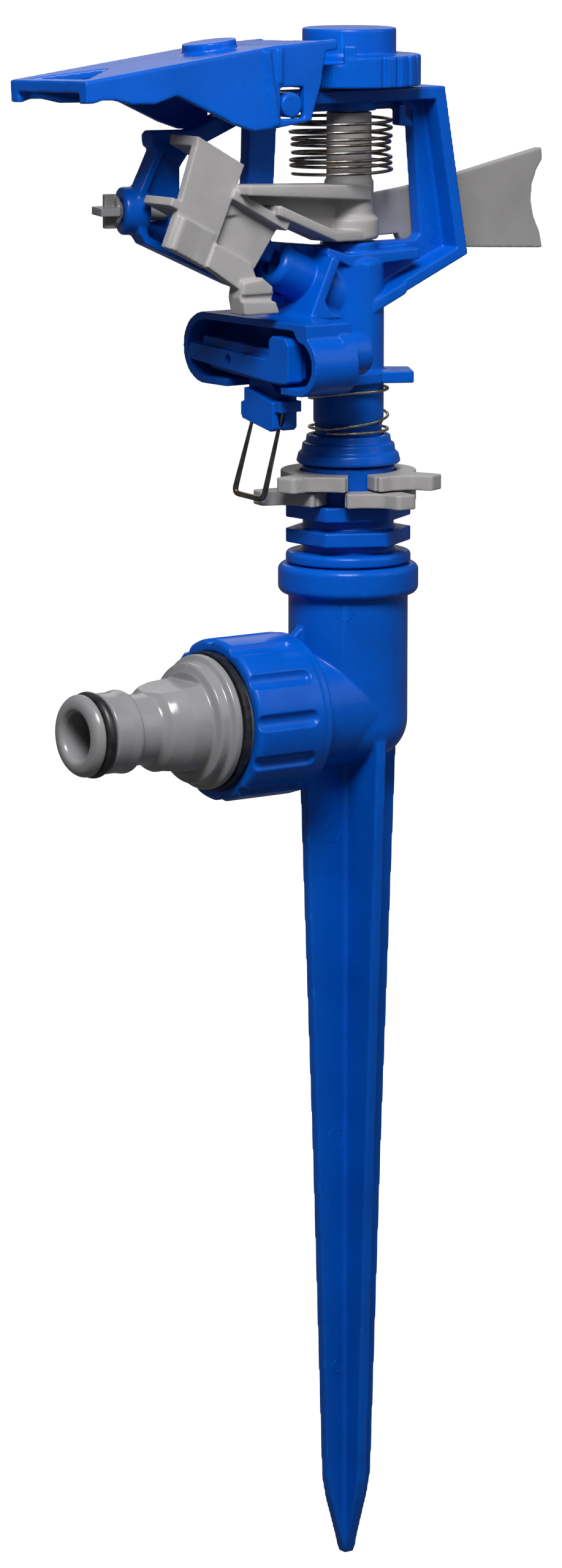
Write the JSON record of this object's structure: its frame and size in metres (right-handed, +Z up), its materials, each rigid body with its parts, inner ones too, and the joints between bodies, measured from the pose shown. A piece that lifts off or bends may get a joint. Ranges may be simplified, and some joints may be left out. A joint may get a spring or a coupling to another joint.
{
  "type": "impact sprinkler",
  "caption": "Plastic impact sprinkler on a ground spike, with swinging arm, part-circle trip, range flap and quick-connect side inlet.",
  "frame": {"origin": "on the spindle axis at ground level, where the four spike blades meet the round socket body", "axes": "+Z up along the spindle axis; -X along the hose inlet and the water jet; -Y the near side of the bridge, with the swing arm's spoon"},
  "size_m": [0.1233, 0.043, 0.3],
  "materials": {
    "arm_pivot_pin_steel": "drawn spring wire",
    "arm_spring_steel": "drawn spring wire",
    "bearing_seal_black": "moulded rubber",
    "bearing_sleeve_blue": "moulded, satin to gloss",
    "bearing_slip_washer_white": "smooth low-friction plastic",
    "bearing_tube_grey": "moulded, fine grain",
    "bearing_wear_washer_black": "moulded rubber",
    "deflector_flap_blue": "moulded, satin to gloss",
    "dog_pin_steel": "drawn spring wire",
    "dust_cap_blue": "moulded, satin to gloss",
    "friction_spring_steel": "drawn spring wire",
    "ground_stake_blue": "moulded, satin to gloss",
    "head_body_blue": "moulded, satin to gloss",
    "hose_adapter_grey": "moulded, fine grain",
    "impact_arm_grey": "moulded, fine grain",
    "inlet_nut_blue": "moulded, satin to gloss",
    "inlet_washer_black": "moulded rubber",
    "jet_breaker_screw_grey": "moulded, fine grain",
    "lever_pin_steel": "drawn spring wire",
    "lower_trip_collar_grey": "moulded, fine grain",
    "main_nozzle_blue": "moulded, satin to gloss",
    "nipple_o_ring_black": "moulded rubber",
    "range_wheel_blue": "moulded, satin to gloss",
    "socket_washer_black": "moulded rubber",
    "swivel_tailpiece_blue": "moulded, satin to gloss",
    "tail_washer_black": "moulded rubber",
    "trip_dog_blue": "moulded, satin to gloss",
    "trip_lever_blue": "moulded, satin to gloss",
    "trip_spring_steel": "drawn spring wire",
    "trip_wire_steel": "drawn spring wire",
    "upper_trip_collar_grey": "moulded, fine grain"
  },
  "bodies": {
    "stake": {"ground_stake": "ground_stake_blue", "swivel_tailpiece": "swivel_tailpiece_blue", "socket_washer": "socket_washer_black", "bearing_sleeve": "bearing_sleeve_blue"},
    "inlet": {"inlet_nut": "inlet_nut_blue", "tail_washer": "tail_washer_black", "hose_adapter": "hose_adapter_grey", "inlet_washer": "inlet_washer_black", "nipple_o_ring": "nipple_o_ring_black"},
    "lower_collar": {"lower_trip_collar": "lower_trip_collar_grey"},
    "upper_collar": {"upper_trip_collar": "upper_trip_collar_grey"},
    "head": {"bearing_tube": "bearing_tube_grey", "bearing_seal": "bearing_seal_black", "bearing_slip_washer": "bearing_slip_washer_white", "bearing_wear_washer": "bearing_wear_washer_black", "dust_cap": "dust_cap_blue", "friction_spring": "friction_spring_steel", "head_body": "head_body_blue", "main_nozzle": "main_nozzle_blue", "arm_pivot_pin": "arm_pivot_pin_steel", "lever_pin": "lever_pin_steel", "dog_pin": "dog_pin_steel", "trip_spring": "trip_spring_steel", "arm_spring": "arm_spring_steel"},
    "arm": {"impact_arm": "impact_arm_grey"},
    "jet_breaker": {"jet_breaker_screw": "jet_breaker_screw_grey"},
    "wheel": {"range_wheel": "range_wheel_blue"},
    "flap": {"deflector_flap": "deflector_flap_blue"},
    "lever": {"trip_lever": "trip_lever_blue"},
    "dog": {"trip_dog": "trip_dog_blue", "trip_wire": "trip_wire_steel"}
  },
  "joints": [
    {"name": "inlet_swivel", "type": "hinge", "parent": "stake", "child": "inlet", "pos_m": [-0.02, 0, 0.01045], "axis": [1, 0, 0], "continuous": true},
    {"name": "lower_collar_turn", "type": "hinge", "parent": "stake", "child": "lower_collar", "pos_m": [0, 0, 0.052], "axis": [0, 0, 1], "range_deg": [0, 180]},
    {"name": "upper_collar_turn", "type": "hinge", "parent": "stake", "child": "upper_collar", "pos_m": [0, 0, 0.055], "axis": [0, 0, 1], "range_deg": [-10, 150]},
    {"name": "head_turn", "type": "hinge", "parent": "stake", "child": "head", "pos_m": [0, 0, 0.06], "axis": [0, 0, 1], "range_deg": [-180, 0]},
    {"name": "arm_swing", "type": "hinge", "parent": "head", "child": "arm", "pos_m": [0, 0, 0.11], "axis": [0, 0, 1], "range_deg": [0, 100], "stiffness_Nm_per_rad": 0.01},
    {"name": "jet_breaker_travel", "type": "slide", "parent": "head", "child": "jet_breaker", "axis": [-0.9511, 0.309, 0], "range_m": [0, 0.004]},
    {"name": "range_wheel_turn", "type": "hinge", "parent": "head", "child": "wheel", "pos_m": [0, 0, 0.132], "axis": [0, 0, 1], "range_deg": [0, 180]},
    {"name": "flap_tilt", "type": "hinge", "parent": "head", "child": "flap", "pos_m": [-0.0223, 0, 0.127], "axis": [0, -1, 0], "range_deg": [0, 6]},
    {"name": "lever_rock", "type": "hinge", "parent": "head", "child": "lever", "pos_m": [-0.0235, 0.006, 0.0782], "axis": [-1, 0, 0], "range_deg": [0, 3.5]},
    {"name": "dog_swing", "type": "hinge", "parent": "head", "child": "dog", "pos_m": [-0.0203, 0.0018, 0.0776], "axis": [-1, 0, 0], "range_deg": [0, 17.5]}
  ],
  "couplings": [
    {"joint": "flap_tilt", "follows": "range_wheel_turn", "ratio": 0.033333},
    {"joint": "dog_swing", "follows": "lever_rock", "ratio": 5}
  ]
}
